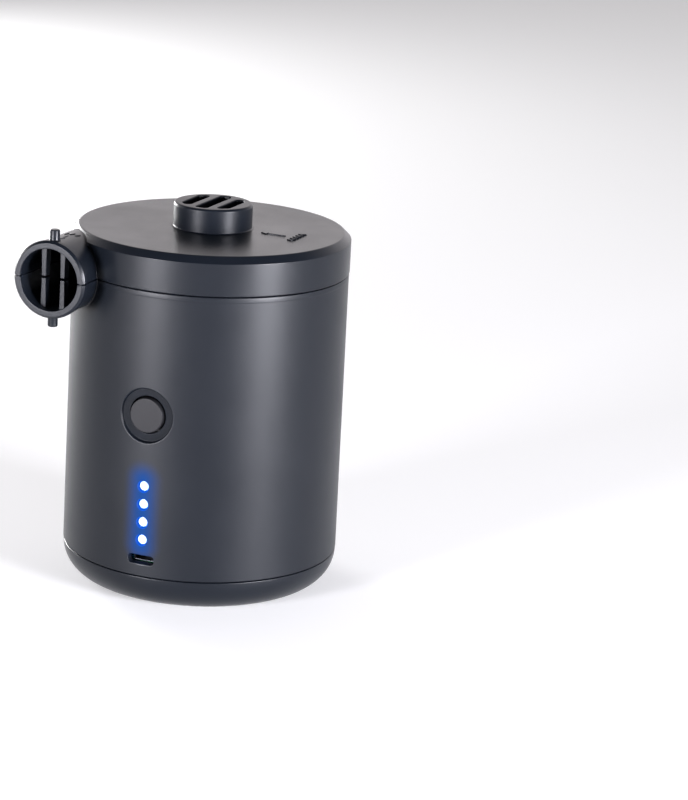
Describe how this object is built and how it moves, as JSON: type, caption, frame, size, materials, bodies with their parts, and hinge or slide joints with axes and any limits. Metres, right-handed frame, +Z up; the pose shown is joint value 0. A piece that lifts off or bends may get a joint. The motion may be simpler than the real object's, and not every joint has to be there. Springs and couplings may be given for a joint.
{
  "type": "electric air mattress pump",
  "caption": "Cordless cylindrical air pump with a side outlet nozzle, a slotted intake port on its lid, a power button, charge lights and a USB charging socket.",
  "frame": {"origin": "centre of the flat underside of the base cover", "axes": "+Z up along the body's axis, -Y towards the side with the button and lights, where the outlet nozzle also points; the nozzle is on the -X side"},
  "size_m": [0.0911, 0.0952, 0.1257],
  "materials": {
    "black_abs": "fine satin moulded ABS, dark charcoal",
    "button_abs": "satin moulded ABS",
    "clear_pc": "clear moulded polycarbonate",
    "led_blue": "lit blue LED",
    "board_green": "green solder mask",
    "chip_black": "black moulding",
    "can_steel": "zinc-plated steel",
    "screw_steel": "black-zinc steel screws",
    "shaft_steel": "ground steel",
    "nickel": "pure nickel strip",
    "bronze": "sintered bronze and brass",
    "copper": "enamelled copper",
    "magnet_grey": "ferrite",
    "carbon": "carbon brush",
    "cell_wrap": null,
    "holder_abs": "moulded ABS",
    "impeller_nylon": "black glass-filled nylon",
    "foam": "closed-cell foam",
    "wire_red": "PVC insulation",
    "wire_black": "PVC insulation"
  },
  "bodies": {
    "housing": {"main_housing": "black_abs", "lid": "black_abs", "base_cover": "black_abs", "intake_port": "black_abs", "fan_deck": "black_abs", "switch_body": "chip_black", "button_spring": "shaft_steel", "indicator_board": "board_green", "led_1": "led_blue", "led_2": "led_blue", "led_3": "led_blue", "led_4": "led_blue", "light_pipe": "clear_pc", "charge_board": "board_green", "usb_shell": "can_steel", "usb_tongue": "chip_black", "charge_chip": "chip_black", "charge_inductor": "magnet_grey", "battery_cell_1": "cell_wrap", "battery_cell_2": "cell_wrap", "battery_cell_3": "cell_wrap", "battery_tray": "holder_abs", "battery_cap": "holder_abs", "cell_strip_bottom": "nickel", "cell_strip_top": "nickel", "motor_can": "can_steel", "motor_end_bell": "chip_black", "motor_magnet_1": "magnet_grey", "motor_magnet_2": "magnet_grey", "front_bushing": "bronze", "rear_bushing": "bronze", "motor_brush_1": "carbon", "motor_brush_2": "carbon", "motor_terminal_1": "bronze", "motor_terminal_2": "bronze", "motor_gasket": "foam", "lid_screw_1": "screw_steel", "lid_screw_2": "screw_steel", "lid_screw_3": "screw_steel", "lid_screw_4": "screw_steel", "base_screw_1": "screw_steel", "base_screw_2": "screw_steel", "base_screw_3": "screw_steel", "base_screw_4": "screw_steel", "motor_screw_1": "screw_steel", "motor_screw_2": "screw_steel", "board_screw_1": "screw_steel", "board_screw_2": "screw_steel", "battery_wire_red": "wire_red", "battery_wire_black": "wire_black", "motor_wire_red": "wire_red", "motor_wire_black": "wire_black"},
    "rotor": {"motor_shaft": "shaft_steel", "armature_stack": "can_steel", "armature_windings": "copper", "commutator": "copper", "impeller": "impeller_nylon", "impeller_insert": "bronze"},
    "button": {"power_button": "button_abs", "switch_plunger": "button_abs"}
  },
  "joints": [
    {"name": "rotor_spin", "type": "hinge", "parent": "housing", "child": "rotor", "pos_m": [0, 0, 0.094], "axis": [0, 0, 1], "continuous": true},
    {"name": "button_press", "type": "slide", "parent": "housing", "child": "button", "axis": [0, 1, 0], "range_m": [0, 0.001], "stiffness_N_per_m": 600, "deforming": ["button_spring"]}
  ]
}
